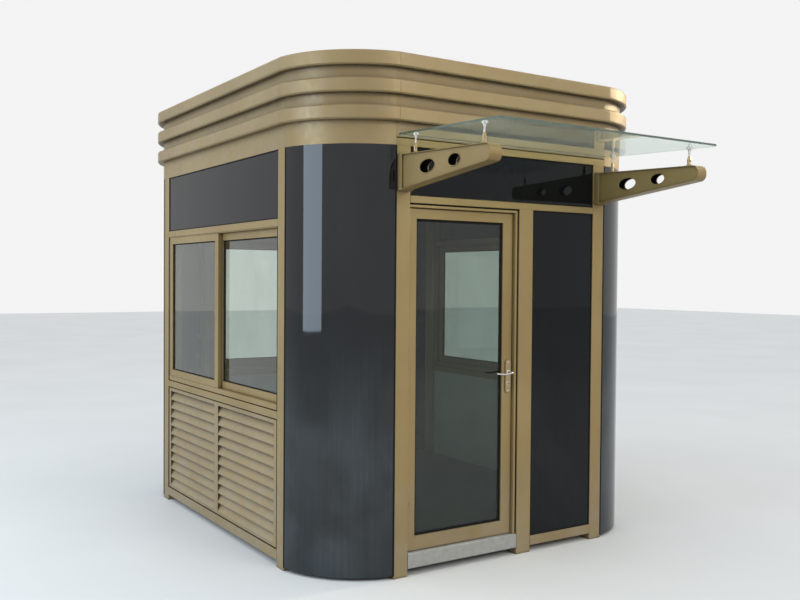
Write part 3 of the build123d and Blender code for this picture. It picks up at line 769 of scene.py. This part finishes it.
def arm_loop(outline, x):
    """An outline of (out, up) points as a loop at X."""
    return [arm_point(*spot, x) for spot in outline]


def oval(place, length, height, grow, x):
    """A loop round an arm's hole, grown outwards."""
    middle_up = ARM_TOP - ARM_ROOT / 2 + middle_slope * place
    outline = []
    for turn in (2 * pi * step / HOLE_POINTS for step in range(HOLE_POINTS)):
        along = (length / 2 + grow) * cos(turn)
        across = (height / 2 + grow) * sin(turn)
        outline.append((place + along - middle_slope * across, middle_up + middle_slope * along + across))
    return arm_loop(outline, x)


def plate_with_holes(shape, outline, x, thickness):
    """A flat plate at X with an arm's holes in it, and with its thickness towards +X."""
    boundary = arm_loop(outline, x)
    holes = [oval(*hole, 0, x) for hole in HOLES]
    rims = []
    for depth in (0, thickness):
        edges = []
        rings = []
        for loop in (boundary, *holes):
            verts = [shape.verts.new(point + Vector((depth, 0, 0))) for point in loop]
            edges.extend(shape.edges.new((verts[index - 1], verts[index])) for index in range(len(verts)))
            rings.append(verts)
        bmesh.ops.triangle_fill(shape, use_beauty=True, edges=edges)
        rims.append(rings)
    for near, far in zip(*rims):
        for index in range(len(near)):
            shape.faces.new((near[index - 1], near[index], far[index], far[index - 1]))


def side_panel(shape, backings, edge_x, outward):
    """A panel set in from an arm's edge, with rims round its holes and a dark backing behind it that paints
    the shade inside the arm.
    """
    face_x = edge_x - outward * PANEL_INSET
    panel_x = face_x if outward < 0 else face_x - ARM_SHEET
    backing_x = panel_x + ARM_SHEET if outward < 0 else panel_x - BACKING
    plate_with_holes(shape, inner, panel_x, ARM_SHEET)
    plate_with_holes(backings, inner, backing_x, BACKING)
    for hole in HOLES:
        skin(shape, [oval(*hole, grow, face_x + outward * height) for grow, height in RIM], closed=True)


def base_plate(shape, left, right):
    """The plate at the wall round an arm's root, a little wider and taller than the arm."""
    left, right = left - BASE_LIP, right + BASE_LIP
    low, high = arm_bottom - BASE_LIP, ARM_TOP + BASE_LIP
    foot = [Vector(corner) for corner in ((left, low), (right, low), (right, high), (left, high))]
    block = []
    for out, shrink in ((0, 0), (ARM_BASE - BASE_BEVEL, 0), (ARM_BASE, BASE_BEVEL)):
        block.append([arm_point(out, corner.y, corner.x) for corner in inset(foot, shrink)])
    skin(shape, block)


arm_corners = ((0, arm_bottom), (ARM_REACH, tip_top - ARM_TIP), (ARM_REACH, tip_top), (0, ARM_TOP))
arm_side = [Vector(corner) for corner in arm_corners]
outer = rounded(arm_side, (0, ARM_NOSE, ARM_NOSE, 0))
inner = rounded(inset(arm_side, ARM_SHEET), (0, ARM_NOSE - ARM_SHEET, ARM_NOSE - ARM_SHEET, 0))
shape, backings = bmesh.new(), bmesh.new()
for side in (-1, 1):
    left = side * arm_x - ARM_WIDTH / 2
    right = left + ARM_WIDTH
    wrap = ((outer, left), (outer, right), (inner, right), (inner, left))
    skin(shape, [arm_loop(outline, x) for outline, x in wrap], closed=True)
    side_panel(shape, backings, left, -1)
    side_panel(shape, backings, right, 1)
    base_plate(shape, left, right)
arms = piece("canopy_arm_shells", shape, ARM_PAINT, "booth", smooth_to=40)
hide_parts("canopy_arms")
# the dark sheets inside the arms paint the shade of their hollows
piece("arm_backings", backings, PRIMER_AND_SHADE, "booth")

# standoffs: brass feet on the arms, and steel rods, clamps and cap nuts that hold the glass
STANDOFF_FROM_WALL = 0.121
STANDOFF_FROM_TIP = 0.097
STANDOFFS = (STANDOFF_FROM_WALL, ARM_REACH - STANDOFF_FROM_TIP)
# the three profiles hold (height over the arm, radius) pairs
FOOT = (
    (0, 0.0190), (0.004, 0.0190), (0.007, 0.0165), (0.011, 0.0120), (0.030, 0.0105), (0.034, 0.0125),
    (0.040, 0.0125), (0.044, 0.0100), (0.056, 0.0090), (0.060, 0.0070),
)
CLAMP = (
    (0.050, 0.0060), (0.088, 0.0060), (0.092, 0.0095), (0.1005, 0.0105), (0.1027, 0.0190),
    (0.1040, 0.0200), (0.1075, 0.0200), (0.1088, 0.0190), (0.1088, 0.0060), (0.1215, 0.0060),
)
CAP = (
    (0.1212, 0.0160), (0.1230, 0.0160), (0.1235, 0.0140), (0.1270, 0.0140), (0.1300, 0.0118),
    (0.1318, 0.0075), (0.1323, 0.0020),
)
feet, clamps = bmesh.new(), bmesh.new()
upright = Vector((0, -CANOPY_FALL, 1)).normalized()
for side in (-1, 1):
    for out in STANDOFFS:
        seat = arm_point(out, ARM_TOP - CANOPY_FALL * out, side * arm_x)
        turned(feet, seat, upright, FOOT, 28)
        turned(clamps, seat, upright, CLAMP, 24)
        turned(clamps, seat, upright, CAP, 24)
stands = piece("standoff_feet", feet, BRASS, "booth", smooth_to=50)
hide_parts("canopy_standoffs")
piece("standoff_clamps", clamps, STEEL, "booth", smooth_to=50)

# an overcast sky that is brighter overhead lights the booth; what shows of it is white
HORIZON_LEVEL = 0.45
ZENITH_LEVEL = 1.15
BACKDROP_LEVEL = 0.9
SKY_COLOUR = (0.93, 0.97, 1.0)
BACKDROP_COLOUR = (1, 1, 1)
world = bpy.data.worlds.new("studio")
scene.world = world
world.use_nodes = True
sky = Shading(world.node_tree)
upward = sky.node("SeparateXYZ", Vector=sky.node("TexCoord").outputs["Generated"]).outputs["Z"]
level = sky.span(upward, 0, 1, HORIZON_LEVEL, ZENITH_LEVEL)
sky_light = sky.node("Background", Color=(*SKY_COLOUR, 1), Strength=level).outputs[0]
backdrop = sky.node("Background", Color=(*BACKDROP_COLOUR, 1), Strength=BACKDROP_LEVEL).outputs[0]
sky.feed(sky.tree.nodes["World Output"].inputs[0], sky.blend(sky.seen_share(), sky_light, backdrop))

# a wide pale floor, which throws less light on the booth than it shows
FLOOR_REACH = 40
FLOOR_LIGHT = (0.36, 0.36, 0.36)
FLOOR_TONES = ((0.74, 0.74, 0.73), (0.78, 0.78, 0.77))
floor_mesh = bpy.data.meshes.new("floor")
floor_mesh.from_pydata([(FLOOR_REACH * x, FLOOR_REACH * y, 0) for x, y in SQUARE], [], [(0, 1, 2, 3)])
floor = bpy.data.objects.new("floor", floor_mesh)
floor_finish = Finish("studio_floor", roughness=0.7, specular_ior_level=0.2)
pale = floor_finish.mix(floor_finish.span(floor_finish.noise(0.6, 3), 0.3, 0.7), *FLOOR_TONES)
floor_finish.set("Base Color", floor_finish.mix(floor_finish.seen_share(), FLOOR_LIGHT, pale))
floor_mesh.materials.append(floor_finish.material)
scene.collection.objects.link(floor)


# lamps: a strip for the corner glass's reflection, cool side light, warm fill and a low sun
def softbox(name, place, target, width, height, power, colour, spread=180):
    """A rectangular lamp aimed at a point, with its beam's full angle in degrees."""
    data = bpy.data.lights.new(name, "AREA")
    data.shape = "RECTANGLE"
    data.size = width
    data.size_y = height
    data.energy = power
    data.color = colour
    data.spread = radians(spread)
    lamp = bpy.data.objects.new(name, data)
    scene.collection.objects.link(lamp)
    aim = Vector(target) - Vector(place)
    lamp.matrix_world = Matrix.Translation(place) @ aim.to_track_quat("-Z", "Y").to_matrix().to_4x4()


softbox("strip_light", (-7.1, -0.85, 2.85), (0, -0.85, 2.85), 2.8, 3.5, 170, (0.68, 0.83, 1.0))
softbox("side_light", (-8, 4, 8.5), (0, 0.4, 1.5), 5, 4, 190, (0.70, 0.85, 1.0))
softbox("fill_light", (2, -10, 6), (0, 0, 1.5), 5, 4, 265, (1.0, 0.95, 0.86))
softbox("low_sun", (8, -1.6, 5.2), (1.2, -1.0, 2.7), 1.2, 1.2, 16, (1.0, 0.85, 0.60), 34)
